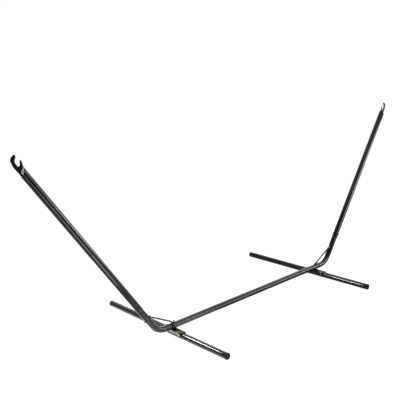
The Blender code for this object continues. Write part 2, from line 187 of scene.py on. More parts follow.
def powder_coat():
    """Black polyester powder coat: orange peel, a faint cloudiness, edges rubbed slightly lighter."""
    n = Nodes("powder_coat")
    cloud = n.ramp(n.noise(7, 4), [(0.30, (0.0100, 0.0110, 0.0116)), (0.70, (0.0170, 0.0182, 0.0190))])
    fleck = n.mix(n.spread(n.noise(2600, 1), 0.0, 0.35, 0.62, 0.72), cloud, (0.035, 0.037, 0.040))
    worn = n.mix(n.edges(0.53, 0.60), fleck, (0.050, 0.052, 0.055))
    n.link(worn, n.shader.inputs["Base Color"])
    n.link(n.spread(n.noise(45, 3), 0.13, 0.20), n.shader.inputs["Roughness"])
    n.bump([(n.noise(620, 2), 0.00010, 0.07), (n.noise(2400, 1), 0.00004, 0.06)])
    n.set(IOR=1.5)
    return n.material


def bare_steel():
    """Inside of the tubes: mill finish, patchy in tone."""
    n = Nodes("bare_steel")
    n.link(n.ramp(n.noise(30, 4), [(0.3, (0.13, 0.13, 0.13)), (0.7, (0.24, 0.235, 0.23))]),
           n.shader.inputs["Base Color"])
    n.link(n.spread(n.noise(160, 2), 0.38, 0.60), n.shader.inputs["Roughness"])
    n.bump([(n.noise(900, 2), 0.00005, 0.3)])
    n.set(Metallic=1.0)
    return n.material


def moulded_plastic():
    """Foot plugs: fine spark-eroded grain, scuffed grey on the edges."""
    n = Nodes("moulded_plastic")
    body = n.ramp(n.noise(25, 3), [(0.3, (0.0055, 0.0055, 0.0060)), (0.7, (0.0110, 0.0110, 0.0115))])
    scuff = n.mix(n.edges(0.55, 0.66), body, (0.055, 0.055, 0.055))
    n.link(scuff, n.shader.inputs["Base Color"])
    n.link(n.spread(n.noise(300, 3), 0.42, 0.58), n.shader.inputs["Roughness"])
    n.bump([(n.noise(3200, 1), 0.00005, 0.35), (n.noise(90, 2), 0.00015, 0.10)])
    n.set(IOR=1.49, Specular_IOR_Level=0.25)
    return n.material


def pale_plastic():
    """Arm plugs: unpigmented plastic, milky, with faint flow marks and grey handling dirt."""
    n = Nodes("pale_plastic")
    body = n.ramp(n.noise(60, 3), [(0.3, (0.70, 0.71, 0.70)), (0.7, (0.82, 0.83, 0.82))])
    n.link(n.mix(n.spread(n.noise(900, 3), 0.0, 0.25, 0.55, 0.75), body, (0.45, 0.45, 0.44)),
           n.shader.inputs["Base Color"])
    n.link(n.spread(n.noise(300, 3), 0.36, 0.50), n.shader.inputs["Roughness"])
    n.bump([(n.noise(2600, 1), 0.00004, 0.30), (n.noise(120, 2), 0.00012, 0.12)])
    n.set(IOR=1.49, Subsurface_Weight=0.1, Subsurface_Scale=0.002)
    return n.material


def dipped_vinyl():
    """Hook coating: thick, soft-edged and faintly uneven."""
    n = Nodes("dipped_vinyl")
    n.link(n.ramp(n.noise(40, 3), [(0.3, (0.0042, 0.0042, 0.0048)), (0.7, (0.0085, 0.0085, 0.0092))]),
           n.shader.inputs["Base Color"])
    n.link(n.spread(n.noise(120, 3), 0.42, 0.58), n.shader.inputs["Roughness"])
    n.bump([(n.noise(170, 2), 0.0003, 0.12), (n.noise(1800, 1), 0.00004, 0.12)])
    n.set(IOR=1.5, Specular_IOR_Level=0.2)
    return n.material


def black_oxide():
    """Blackened bolts: dark metal, edges rubbed back to steel."""
    n = Nodes("black_oxide")
    body = n.ramp(n.noise(500, 3), [(0.3, (0.020, 0.020, 0.022)), (0.7, (0.045, 0.045, 0.048))])
    n.link(n.mix(n.edges(0.54, 0.66), body, (0.26, 0.26, 0.26)), n.shader.inputs["Base Color"])
    n.link(n.spread(n.noise(900, 2), 0.28, 0.46), n.shader.inputs["Roughness"])
    n.bump([(n.noise(2200, 2), 0.00003, 0.30)])
    n.set(Metallic=1.0)
    return n.material


def zinc_plate():
    """Bright zinc with a faint blue and straw passivation bloom."""
    n = Nodes("zinc_plate")
    bloom = n.ramp(n.noise(220, 3), [(0.28, (0.62, 0.66, 0.72)), (0.50, (0.76, 0.77, 0.78)),
                                     (0.74, (0.80, 0.77, 0.66))])
    n.link(n.mix(n.spread(n.noise(1300, 2), 0.0, 0.30), bloom, (0.42, 0.43, 0.45)),
           n.shader.inputs["Base Color"])
    n.link(n.spread(n.noise(1600, 2), 0.18, 0.36), n.shader.inputs["Roughness"])
    n.bump([(n.noise(2600, 2), 0.00003, 0.25)])
    n.set(Metallic=1.0)
    return n.material


def paper_label(band):
    """Blank laminated label: yellow in front of the band's Y and cream behind it, with paper fibre."""
    n = Nodes("paper_label")
    split = n.add("ShaderNodeSeparateXYZ")
    n.link(n.place, split.inputs["Vector"])
    yellow = n.spread(split.outputs["Y"], 1.0, 0.0, band - LABEL_BLEND, band + LABEL_BLEND)
    tint = n.mix(yellow, (0.47, 0.46, 0.36), (0.62, 0.56, 0.14))
    fibre = n.mix(n.spread(n.noise(700, 4), 0.0, 0.30), tint, (0.34, 0.33, 0.25))
    n.link(fibre, n.shader.inputs["Base Color"])
    n.link(n.spread(n.noise(260, 3), 0.34, 0.52), n.shader.inputs["Roughness"])
    n.bump([(n.noise(1500, 3), 0.00003, 0.30), (n.noise(60, 2), 0.0003, 0.12)])
    return n.material


FLOOR_GLOW = 0.90                     # as seen directly
FLOOR_REFLECTED = 0.02                # as the object reflects it
NEAR_REFLECTED = 1.1                  # and close to the left bend
CARD_GLOW = 5.0


def pale_floor(name, reflected):
    """Pale floor that glows white as seen directly, with its own glow for what the object reflects."""
    n = Nodes(name)
    n.link(n.ramp(n.noise(3, 3), [(0.3, (0.40, 0.40, 0.40)), (0.7, (0.42, 0.42, 0.42))]),
           n.shader.inputs["Base Color"])
    n.set(Roughness=0.9, Specular_IOR_Level=0.1, Emission_Color=(1.0, 1.0, 1.0, 1.0))
    seen = n.add("ShaderNodeLightPath").outputs["Is Camera Ray"]
    n.link(n.spread(seen, reflected, FLOOR_GLOW, 0.0, 1.0), n.shader.inputs["Emission Strength"])
    return n.material


def lit_card():
    """Glowing white card on the ground, which the left arm reflects as a light line."""
    n = Nodes("lit_card")
    n.set(Base_Color=(1.0, 1.0, 1.0, 1.0), Emission_Color=(1.0, 1.0, 1.0, 1.0), Emission_Strength=CARD_GLOW)
    return n.material


# --- Mesh building ------------------------------------------------------------------------------------


def piece(name, mesh, body, replaced, materials):
    """Adds a finished mesh as a piece that rides on a body and stands for CAD nodes."""
    made = bpy.data.objects.new(name, mesh)
    bpy.context.scene.collection.objects.link(made)
    mesh.materials.clear()
    for material in materials:
        mesh.materials.append(material)
    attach(made, body)
    if replaced:
        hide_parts(*replaced)
    return made


def finished(shape, name, sharp=SHARP):
    """Turns a bmesh into a smooth-shaded mesh with its hard edges kept."""
    bmesh.ops.remove_doubles(shape, verts=shape.verts, dist=WELD)
    bmesh.ops.recalc_face_normals(shape, faces=shape.faces)
    mesh = bpy.data.meshes.new(name)
    shape.to_mesh(mesh)
    shape.free()
    mesh.shade_smooth()
    mesh.set_sharp_from_angle(angle=sharp)
    return mesh


def skin(rings, looped):
    """Closed skin over rings of points. A looped skin joins its last ring to its first."""
    shape = bmesh.new()
    grid = [[shape.verts.new(p) for p in ring] for ring in rings]
    pairs = list(zip(grid, grid[1:] + grid[:1])) if looped else list(zip(grid, grid[1:]))
    for first, second in pairs:
        for i in range(len(first)):
            j = (i + 1) % len(first)
            shape.faces.new((first[i], first[j], second[j], second[i]))
    if not looped:
        for ring in (grid[0], grid[-1]):
            if (ring[0].co - ring[len(ring) // 2].co).length > OPEN_RING:
                shape.faces.new(ring)
    bmesh.ops.dissolve_degenerate(shape, dist=DEGENERATE, edges=shape.edges)
    return shape


def circle(centre, tangent, radius, shear=None):
    """Ring of points round a centre. shear(outward offset) slides each point along the tangent."""
    level = ACROSS if abs(tangent.y) < 0.9 else Vector((1, 0, 0))
    spoke = level.cross(tangent).normalized()
    ring = []
    for k in range(TUBE_SIDES):
        turn = 2 * math.pi * k / TUBE_SIDES
        offset = spoke * (radius * math.cos(turn)) + level * (radius * math.sin(turn))
        slide = shear(offset) if shear else 0.0
        ring.append(centre + offset + tangent * slide)
    return ring


def straight(start, direction):
    """Route along a line: distance to (point, tangent)."""
    start, direction = Vector(start), Vector(direction).normalized()
    return lambda s: (start + direction * s, direction)


def turned(route, profile, looped=True, shear=None):
    """Round body along a route. The profile is a list of (distance, radius)."""
    rings = []
    for s, radius in profile:
        centre, tangent = route(s)
        rings.append(circle(centre, tangent, max(radius, NO_RADIUS), shear and shear(s)))
    return skin(rings, looped)


def arc(centre_s, centre_r, radius, start, end, steps):
    """Profile points on an arc, angles in degrees from the +distance direction."""
    points = []
    for k in range(steps + 1):
        turn = math.radians(start + (end - start) * k / steps)
        points.append((centre_s + radius * math.cos(turn), centre_r + radius * math.sin(turn)))
    return points


def spaced(start, end, step):
    """Distances from start to end, both included, no further apart than a step."""
    count = max(1, math.ceil(abs(end - start) / step))
    return [start + (end - start) * k / count for k in range(count + 1)]


def wall_profile(stations):
    """Closed profile of a tube wall with rounded ends, from its outer (distance, radius) stations."""
    half = WALL / 2
    (first, first_r), (last, last_r) = stations[0], stations[-1]
    outer = [(s, r) for s, r in stations if first + half < s < last - half]
    inner = [(s, r - WALL) for s, r in reversed(outer)]
    return (outer + arc(last - half, last_r - half, half, 90, -90, LIP_STEPS)
            + inner + arc(first + half, first_r - half, half, -90, -270, LIP_STEPS))


def near(place, radius):
    """Extra stations either side of a bolt hole."""
    return [place + away * radius for away in (-2, -1.25, 1.25, 2)]


def mark_inside(mesh, axis_distance, limit):
    """Gives faces nearer the axis than a limit the second material."""
    for face in mesh.polygons:
        if axis_distance(face.center) < limit:
            face.material_index = 1


def drill(made, centre, direction, radius, length=DRILL_LENGTH):
    """Cuts a round hole through a finished piece and keeps its smooth shading."""
    shape = bmesh.new()
    place = Matrix.Translation(centre) @ Vector(direction).to_track_quat("Z", "Y").to_matrix().to_4x4()
    bmesh.ops.create_cone(shape, cap_ends=True, segments=HOLE_SIDES, radius1=radius, radius2=radius,
                          depth=length, matrix=place)
    mesh = bpy.data.meshes.new("drill")
    shape.to_mesh(mesh)
    shape.free()
    bit = bpy.data.objects.new("drill", mesh)
    bpy.context.scene.collection.objects.link(bit)
    cut = made.modifiers.new("hole", "BOOLEAN")
    cut.object = bit
    cut.solver = "EXACT"
    graph = bpy.context.evaluated_depsgraph_get()
    cut_mesh = bpy.data.meshes.new_from_object(made.evaluated_get(graph))
    made.modifiers.remove(cut)
    made.data = cut_mesh
    bpy.data.objects.remove(bit, do_unlink=True)
    cut_mesh.shade_smooth()
    cut_mesh.set_sharp_from_angle(angle=SHARP)


def plate(name, outline, thickness, edge, matrix, resolution):
    """Flat plate with rounded edges; the resolution is that of its edges."""
    curve = bpy.data.curves.new(name, "CURVE")
    curve.dimensions = "2D"
    curve.fill_mode = "BOTH"
    curve.extrude = thickness / 2 - edge
    curve.bevel_depth = edge
    curve.bevel_resolution = resolution
    curve.offset = -edge
    spline = curve.splines.new("POLY")
    spline.points.add(len(outline) - 1)
    for knot, (x, y) in zip(spline.points, outline):
        knot.co = (x, y, 0.0, 1.0)
    spline.use_cyclic_u = True
    holder = bpy.data.objects.new(name, curve)
    bpy.context.scene.collection.objects.link(holder)
    bpy.context.view_layer.update()
    mesh = bpy.data.meshes.new_from_object(holder.evaluated_get(bpy.context.evaluated_depsgraph_get()))
    bpy.data.objects.remove(holder, do_unlink=True)
    mesh.transform(matrix)
    shape = bmesh.new()
    shape.from_mesh(mesh)
    return finished(shape, name)


def rounded(corners):
    """Outline through corners (x, y, radius), each turned as an arc of that radius."""
    outline = []
    for i, (x, y, radius) in enumerate(corners):
        corner = Vector((x, y))
        before = (Vector(corners[i - 1][:2]) - corner).normalized()
        after = (Vector(corners[(i + 1) % len(corners)][:2]) - corner).normalized()
        half = before.angle(after) / 2
        middle = corner + (before + after).normalized() * (radius / math.sin(half))
        start = corner + before * (radius / math.tan(half)) - middle
        end = corner + after * (radius / math.tan(half)) - middle
        turn = start.angle_signed(end)
        for k in range(CORNER_STEPS + 1):
            spoke = start.copy()
            spoke.rotate(Matrix.Rotation(-turn * k / CORNER_STEPS, 2))
            outline.append(tuple(middle + spoke))
    return outline


# --- Dimensions that no box of the frame shows ---------------------------------------------------------

# Tubes
BEND_RADIUS = 0.120
ARM_ANGLE = math.radians(55.2)
ARM_REACH = 1.414                     # from the corner to the middle of the arm's end
END_CUT = 0.035 / 0.0445              # slope of the arm's slanted end
END_CUT_BACK = 0.0075                 # it crosses the axis this far below the middle of the end
SLANT_RUN = 0.060                     # the arm's rings tilt over this length below its slanted end
SPIGOT = 0.100                        # narrowed end of a bend tube in the beam
ARM_START = 0.228                     # lower end of the arm, from the corner
ARM_SPIGOT = 0.090                    # narrowed end of a bend tube in the arm
SWAGE = 0.002                         # step from the full diameter to a spigot
HOLE_M8 = 0.004 + GAP                 # radii of the bolt holes
HOLE_M6 = 0.003 + GAP
DRILL_SADDLE = 0.02                   # drill lengths for the saddle's top and the brace's tabs
DRILL_TAB = 0.03

# Distances between the rings of the tubes
BEAM_STEP = 0.02
LONG_STEP = 0.03                      # arms and feet
SPIGOT_STEP = 0.01                    # straight parts of the bend tubes
BEND_STEP = 0.004
SLANT_STEP = 0.006

# Braces
ROD_RADIUS = 0.006
ROD_SIDES = 40
TAB_HALF_WIDTH = 0.010
TAB_HALF_THICKNESS = 0.002
TAB_FLAT = 0.018                      # flat length from the bolt towards the rod
TAB_POWER = 8                         # how square the tab's section is; 2 is round
TAB_TIP = 0.00001                     # least half width, at its rounded tip
FORGED = 0.020                        # length over which the tab becomes round
STANDOFF = 0.0065                     # rod axis above the tube where it leaves it
BRACE_FOOT = 0.123
ROD_STRAIGHT = 0.020                  # the rod is straight from this far past its foot
BRACE_BEND = 0.018                    # bend between tab and rod
BRACE_BEND_STEPS = 8
BRACE_STEP = 0.0012                   # between the rings of a brace

# Saddles and foot plugs
SADDLE_SHEET = 0.0025
SADDLE_BEND = 0.008                   # inner radius
SADDLE_LIP = 0.0008                   # rounding of the legs' lower edges
SADDLE_EDGE = 0.0005
SADDLE_EDGE_STEPS = 2
CAP_ROUND = 0.0030
CAP_ROUND_STEPS = 8
CAP_LIP_STEPS = 3                     # round the rim's inner edge
CAP_RIM = 0.007                       # rim outside the tube
CAP_WALL = 0.0025
CAP_DISH = 0.0008
CAP_DISH_FLAT = 0.62                  # radii of the dish's floor and its brink, as shares of the rim's
CAP_DISH_BRINK = 0.74
GATE_DEPTH = 1.6 * CAP_DISH           # ring left by the mould's gate, and its slopes' radii
GATE_RADII = (0.0020, 0.0024, 0.0036, 0.0040)
CAP_RIB = 0.0006                      # height of the ribs that grip the tube
CAP_RIB_PITCH = 0.005

# Label
LABEL_LENGTH = 0.084
LABEL_FRONT = 0.069                   # its front end, in front of the beam's axis
LABEL_YELLOW = 0.050                  # where its yellow part ends, in front of the beam's axis
LABEL_BLEND = 0.0015                  # softness of the border between its colours
LABEL_BELOW_BEND = 0.009
LABEL_WRAP = 35.0                     # degrees that it goes round the bend
LABEL_THICKNESS = 0.0002
LABEL_LIFT = 0.00005
LABEL_SHARP = math.radians(60)
LABEL_STEPS = (0.003, 0.004)          # between its points, up the saddle's side and along it
LABEL_TURN = 5.0                      # and round the bend, in degrees

# Hooks
HOOK_EDGE = 0.0018
HOOK_EDGE_STEPS = 4
TONGUE_LENGTH = 0.056                 # part of the hook inside the arm
TONGUE_INNER = -0.012                 # its two edges, across the arm
TONGUE_OUTER = 0.0192
NECK_INNER = 0.0100                   # the neck runs from here to the tongue's outer edge
PLUG_DEPTH = 0.002                    # the plug's face lies this far inside the slanted end
SLOT_BESIDE_RIM = 0.0015              # gap between hook and tube at the inner side of the arm
SLOT_SPREAD = 0.20                    # and how much it widens outward, per unit of length

# Fasteners
M8 = {"flats": 0.013, "head": 0.0053, "radius": 0.004, "pitch": 0.00125, "nut": 0.0065}
M6 = {"flats": 0.010, "head": 0.0040, "radius": 0.003, "pitch": 0.0010, "nut": 0.0050}
FASTENER_SIDES = 72
FASTENER_SHARP = math.radians(28)
CHAMFER = math.tan(math.radians(30))
FACE_SHARE = 0.95                     # diameter of a round face over the width across flats
HEAD_DISH = 0.0003                    # sunk middle of a bolt's head
DISH_INNER = 0.55                     # radii of its floor and its rim, as shares of the face's
DISH_OUTER = 0.62
WASHER_FACE = 0.0004                  # height of the round face under a bolt's head
THREAD_SHARE = 0.45                   # threaded part of a shank
THREAD_LIMIT = 0.022
THREAD_DEPTH = 0.55                   # in pitches
THREAD_TURN = 12                      # rings in one turn of thread
THREAD_CREST = 0.12                   # flat part of the thread's profile
THREAD_RUN_OUT = 0.35                 # share of its depth left at the bolt's tip
BOLT_TIP = 0.72                       # radius of the tip's face over the shank's
COUNTERSINK_DEPTH = 0.0006
COUNTERSINK_WIDTH = 0.0005
WASHER_SOFT = 0.0003                  # rounding of a washer's edges

# --- Places read from the frame -----------------------------------------------------------------------


def centre_of(node):
    low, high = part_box(node)
    return (low + high) / 2


def size_of(node):
    low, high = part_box(node)
    return high - low


BEAM = centre_of("centre_beam")
BEAM_RADIUS = size_of("centre_beam").z / 2
BEAM_END = size_of("centre_beam").x / 2
ARM_RADIUS = size_of("left_arm_tube").y / 2
FOOT_RADIUS = size_of("left_foot_tube").x / 2


class Arm:
    """Axis of one raised arm, through its joint bolt, and the corner where it meets the beam's axis."""

    def __init__(self, label, side):
        self.label, self.side = label, side
        bolt = centre_of(label + "_joint_bolt")
        bolt.y = BEAM.y
        self.along = Vector((side * math.cos(ARM_ANGLE), 0, math.sin(ARM_ANGLE)))
        self.outward = Vector((side * self.along.z, 0, -side * self.along.x))
        self.corner = bolt + self.along * ((BEAM.z - bolt.z) / self.along.z)
        self.joint_bolt = (bolt - self.corner).length

    def at(self, along, outward=0.0):
        return self.corner + self.along * along + self.outward * outward

    def matrix(self, along):
        """Local X up the arm, local Y outward, local Z level."""
        turn = Matrix((self.along, self.outward, self.along.cross(self.outward))).transposed().to_4x4()
        return Matrix.Translation(self.at(along)) @ turn

    def bent_route(self):
        """Route along the beam, round the bend and up the arm, by the distance from the beam's middle.

        With it come the distances at which the bend starts and ends, and the difference between a
        distance on the route and the distance from the corner up the arm."""
        tangent_length = BEND_RADIUS * math.tan(ARM_ANGLE / 2)
        arc_start = abs(self.corner.x) - tangent_length
        arc_length = BEND_RADIUS * ARM_ANGLE

        def route(x):
            if x <= arc_start:
                return Vector((self.side * x, BEAM.y, BEAM.z)), Vector((self.side, 0, 0))
            if x >= arc_start + arc_length:
                return self.at(tangent_length + x - arc_start - arc_length), self.along
            turn = (x - arc_start) / BEND_RADIUS
            place = Vector((self.side * (arc_start + BEND_RADIUS * math.sin(turn)), BEAM.y,
                            BEAM.z + BEND_RADIUS * (1 - math.cos(turn))))
            return place, Vector((self.side * math.cos(turn), 0, math.sin(turn)))

        return route, arc_start, arc_start + arc_length, arc_start + arc_length - tangent_length


ARMS = [Arm(label, side) for label, side in SIDES]
BRACE_BOLT = abs(ARMS[0].corner.x) - abs(centre_of("left_main_bolt").x)

COAT = powder_coat()
STEEL = bare_steel()
PLASTIC = moulded_plastic()
PALE = pale_plastic()
VINYL = dipped_vinyl()
OXIDE = black_oxide()
ZINC = zinc_plate()
PAPER = paper_label(BEAM.y - LABEL_YELLOW)

# --- Tubes --------------------------------------------------------------------------------------------


def make_beam():
    stations = spaced(-BEAM_END, BEAM_END, BEAM_STEP)
    for side in (-1, 1):
        stations += near(side * abs(centre_of("left_main_bolt").x), HOLE_M8)
    profile = wall_profile([(s, BEAM_RADIUS) for s in sorted(stations)])
    mesh = finished(turned(straight((0, BEAM.y, BEAM.z), (1, 0, 0)), profile), "centre_beam_tube")
    mark_inside(mesh, lambda p: (p.yz - BEAM.yz).length, BEAM_RADIUS - WALL / 2)
    beam = piece("centre_beam_tube", mesh, "frame", ["centre_beam"], [COAT, STEEL])
    for label, _ in SIDES:
        drill(beam, Vector((centre_of(label + "_main_bolt").x, BEAM.y, BEAM.z)), UP, HOLE_M8)


def make_bend(arm):
    """Bent tube with a narrowed spigot at each end."""
    route, bend_start, bend_end, arm_shift = arm.bent_route()
    spigot = BEAM_RADIUS - WALL - GAP
    arm_spigot = ARM_RADIUS - WALL - GAP
    lower_end = BEAM_END - SPIGOT
    arm_start = ARM_START + arm_shift
    upper_end = arm_start + ARM_SPIGOT
    stations = [(s, spigot) for s in spaced(lower_end, BEAM_END + GAP, SPIGOT_STEP)]
    stations += [(s, BEAM_RADIUS) for s in spaced(BEAM_END + SWAGE, bend_start, SPIGOT_STEP)]
    stations += [(s, BEAM_RADIUS) for s in spaced(bend_start, bend_end, BEND_STEP)[1:-1]]
    stations += [(s, BEAM_RADIUS) for s in spaced(bend_end, arm_start - SWAGE, SPIGOT_STEP)]
    stations += [(s, arm_spigot) for s in spaced(arm_start - GAP, upper_end, SPIGOT_STEP)]
    shape = turned(route, wall_profile(stations))
    mesh = finished(shape, arm.label + "_bend")
    bend = piece(arm.label + "_bend", mesh, "frame", [arm.label + "_bend_tube"], [COAT])
    drill(bend, Vector((centre_of(arm.label + "_main_bolt").x, BEAM.y, BEAM.z)), UP, HOLE_M8)
    drill(bend, arm.at(BRACE_BOLT), arm.outward, HOLE_M8)
    drill(bend, arm.at(arm.joint_bolt), ACROSS, HOLE_M8)


def make_arm(arm):
    """Arm tube with a square lower end and a slanted upper end."""
    end = ARM_REACH - END_CUT_BACK
    slant_start = end - SLANT_RUN
    stations = spaced(ARM_START, slant_start, LONG_STEP) + spaced(slant_start, end, SLANT_STEP)[1:]
    stations += near(arm.joint_bolt, HOLE_M8)
    profile = wall_profile([(s, ARM_RADIUS) for s in sorted(stations)])

    def shear(s):
        share = min(1.0, max(0.0, (s - slant_start) / SLANT_RUN))
        return lambda offset: -offset.dot(arm.outward) * END_CUT * share

    mesh = finished(turned(straight(arm.corner, arm.along), profile, shear=shear), arm.label + "_arm")

    def axis_distance(p):
        offset = p - arm.corner
        return (offset - arm.along * offset.dot(arm.along)).length

    mark_inside(mesh, axis_distance, ARM_RADIUS - WALL / 2)
    tube = piece(arm.label + "_arm", mesh, "frame", [arm.label + "_arm_tube"],
                 [COAT, STEEL])
    drill(tube, arm.at(arm.joint_bolt), ACROSS, HOLE_M8)


def make_foot(label):
    centre = centre_of(label + "_foot_tube")
    half = size_of(label + "_foot_tube").y / 2
    stations = spaced(-half, half, LONG_STEP)
    bolts = [centre_of(f"{label}_{end}_saddle_bolt") for end, _ in ENDS]
    for bolt in bolts:
        stations += near(bolt.y - centre.y, HOLE_M6)
    stations += near(BEAM.y - centre.y, HOLE_M8)
    profile = wall_profile([(s, FOOT_RADIUS) for s in sorted(stations)])
    mesh = finished(turned(straight(centre, ACROSS), profile), label + "_foot")
    mark_inside(mesh, lambda p: (p.xz - centre.xz).length, FOOT_RADIUS - WALL / 2)
    foot = piece(label + "_foot", mesh, label + "_foot", [label + "_foot_tube"],
                 [COAT, STEEL])
    for bolt in bolts:
        drill(foot, bolt, (1, 0, 0), HOLE_M6)
    drill(foot, Vector((centre.x, BEAM.y, centre.z + FOOT_RADIUS)), UP, HOLE_M8, FOOT_RADIUS)


make_beam()
for arm in ARMS:
    make_bend(arm)
    make_arm(arm)
    make_foot(arm.label)

# --- Braces -------------------------------------------------------------------------------------------


def make_brace(arm):
    """Round rod forged flat at both ends, with each flat bent down on to its tube."""
    lift = BEAM_RADIUS + GAP + TAB_HALF_THICKNESS

    def on_beam(distance, height):
        return Vector((arm.corner.x - arm.side * distance, BEAM.y, BEAM.z + height))

    def on_arm(distance, height):
        return arm.at(distance, -height)

    rod_low = on_beam(BRACE_FOOT, BEAM_RADIUS + STANDOFF)
    rod_high = on_arm(BRACE_FOOT, BEAM_RADIUS + STANDOFF)
    ends = []
    for tab, rod_end, far_end in ((on_beam, rod_low, rod_high), (on_arm, rod_high, rod_low)):
        rod_way = (far_end - rod_end).normalized()
        ends.append([tab(BRACE_BOLT + TAB_HALF_WIDTH, lift), tab(BRACE_BOLT - TAB_FLAT / 2, lift),
                     rod_end + rod_way * ROD_STRAIGHT])
    path = bent_path(ends[0] + list(reversed(ends[1])))
    total = sum((b - a).length for a, b in zip(path, path[1:]))
    rings = []
    s = 0.0
    for i, place in enumerate(path):
        before, after = path[max(i - 1, 0)], path[min(i + 1, len(path) - 1)]
        tangent = (after - before).normalized()
        if i:
            s += (place - path[i - 1]).length
        rings.append(forged_section(place, tangent, min(s, total - s)))
    mesh = finished(skin(rings, False), arm.label + "_brace")
    brace = piece(arm.label + "_brace", mesh, "frame", [arm.label + "_brace_rod"], [COAT])
    drill(brace, on_beam(BRACE_BOLT, lift), UP, HOLE_M8, DRILL_TAB)
    drill(brace, on_arm(BRACE_BOLT, lift), arm.outward, HOLE_M8, DRILL_TAB)


def bent_path(corners):
    """Points along straight runs whose inner corners are turned as smooth bends."""
    knots = [corners[0]]
    for before, corner, after in zip(corners, corners[1:], corners[2:]):
        first, second = (before - corner).normalized(), (after - corner).normalized()
        reach = BRACE_BEND / math.tan(first.angle(second) / 2)
        start, end = corner + first * reach, corner + second * reach
        for k in range(BRACE_BEND_STEPS + 1):
            t = k / BRACE_BEND_STEPS
            knots.append(start * (1 - t) ** 2 + corner * 2 * t * (1 - t) + end * t ** 2)
    knots.append(corners[-1])
    path = [knots[0]]
    for a, b in zip(knots, knots[1:]):
        count = max(1, math.ceil((b - a).length / BRACE_STEP))
        path += [a.lerp(b, k / count) for k in range(1, count + 1)]
    return path


def forged_section(place, tangent, from_end):
    """Ring that is a flat tab near the end of the rod and round further in."""
    flat_end = TAB_HALF_WIDTH + TAB_FLAT / 2
    share = min(1.0, max(0.0, (from_end - flat_end) / FORGED))
    share = share * share * (3 - 2 * share)
    width = TAB_HALF_WIDTH + (ROD_RADIUS - TAB_HALF_WIDTH) * share
    height = TAB_HALF_THICKNESS + (ROD_RADIUS - TAB_HALF_THICKNESS) * share
    if from_end < TAB_HALF_WIDTH:
        width = math.sqrt(max(0.0, TAB_HALF_WIDTH ** 2 - (TAB_HALF_WIDTH - from_end) ** 2))
    power = 2 / (TAB_POWER - (TAB_POWER - 2) * share)
    normal = tangent.cross(ACROSS).normalized()
    ring = []
    for k in range(ROD_SIDES):
        turn = 2 * math.pi * k / ROD_SIDES
        across, rise = math.cos(turn), math.sin(turn)
        across = math.copysign(abs(across) ** power, across) * max(width, TAB_TIP)
        rise = math.copysign(abs(rise) ** power, rise) * height
        ring.append(place + ACROSS * across + normal * rise)
    return ring


for arm in ARMS:
    make_brace(arm)

# --- Saddles, caps and label --------------------------------------------------------------------------


def make_saddle(label):
    """Folded channel, open below, with its holes for the main bolt and the cross bolts."""
    low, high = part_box(label + "_saddle")
    half = (high.x - low.x) / 2
    top = high.z - low.z
    inside = half - SADDLE_SHEET
    outline = rounded([
        (-half, 0.0, SADDLE_LIP), (-inside, 0.0, SADDLE_LIP), (-inside, top - SADDLE_SHEET, SADDLE_BEND),
        (inside, top - SADDLE_SHEET, SADDLE_BEND), (inside, 0.0, SADDLE_LIP), (half, 0.0, SADDLE_LIP),
        (half, top, SADDLE_BEND + SADDLE_SHEET), (-half, top, SADDLE_BEND + SADDLE_SHEET),
    ])
    centre = (low + high) / 2
    place = Matrix.Translation((centre.x, centre.y, low.z)) @ Matrix.Rotation(math.pi / 2, 4, "X")
    name = label + "_saddle_channel"
    mesh = plate(name, outline, high.y - low.y, SADDLE_EDGE, place, SADDLE_EDGE_STEPS)
    saddle = piece(name, mesh, label + "_foot", [label + "_saddle"], [COAT])
    drill(saddle, Vector((centre.x, BEAM.y, high.z)), UP, HOLE_M8, DRILL_SADDLE)
    for end, _ in ENDS:
        drill(saddle, centre_of(f"{label}_{end}_saddle_bolt"), (1, 0, 0), HOLE_M6)


def make_cap(label, end, way):
    """Moulded plug: dished end with its gate mark, soft rim with a flat sole, ribs inside the tube."""
    node = f"{label}_{end}_foot_cap"
    low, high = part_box(node)
    radius = (high.x - low.x) / 2
    length = high.y - low.y
    tip = Vector(((low.x + high.x) / 2, high.y if way > 0 else low.y, high.z - radius))
    body = FOOT_RADIUS - WALL - GAP
    gate_depths = (CAP_DISH, GATE_DEPTH, GATE_DEPTH, CAP_DISH)
    profile = [(CAP_DISH, 0.0), *zip(gate_depths, GATE_RADII)]
    profile += [(CAP_DISH, radius * CAP_DISH_FLAT), (0.0, radius * CAP_DISH_BRINK)]
    profile += arc(CAP_ROUND, radius - CAP_ROUND, CAP_ROUND, 180, 90, CAP_ROUND_STEPS)
    profile += arc(CAP_RIM - CAP_DISH / 2, radius - CAP_DISH / 2, CAP_DISH / 2, 90, 0, CAP_LIP_STEPS)
    profile.append((CAP_RIM, body - CAP_RIB))
    for rib in spaced(CAP_RIM + CAP_RIB_PITCH, length - CAP_RIB_PITCH, CAP_RIB_PITCH):
        profile += [(rib - CAP_RIB, body - CAP_RIB), (rib, body), (rib + CAP_RIB, body - CAP_RIB)]
    profile += [(length - CAP_RIB, body - CAP_RIB), (length, body - 2 * CAP_RIB),
                (length, body - CAP_WALL), (CAP_WALL, body - CAP_WALL), (CAP_WALL, 0.0)]
    shape = turned(straight(tip, (0, -way, 0)), profile, looped=False)
    for vertex in shape.verts:
        vertex.co.z = max(vertex.co.z, low.z)
    mesh = finished(shape, node + "_moulding")
    piece(node + "_moulding", mesh, label + "_foot", [node], [PLASTIC])


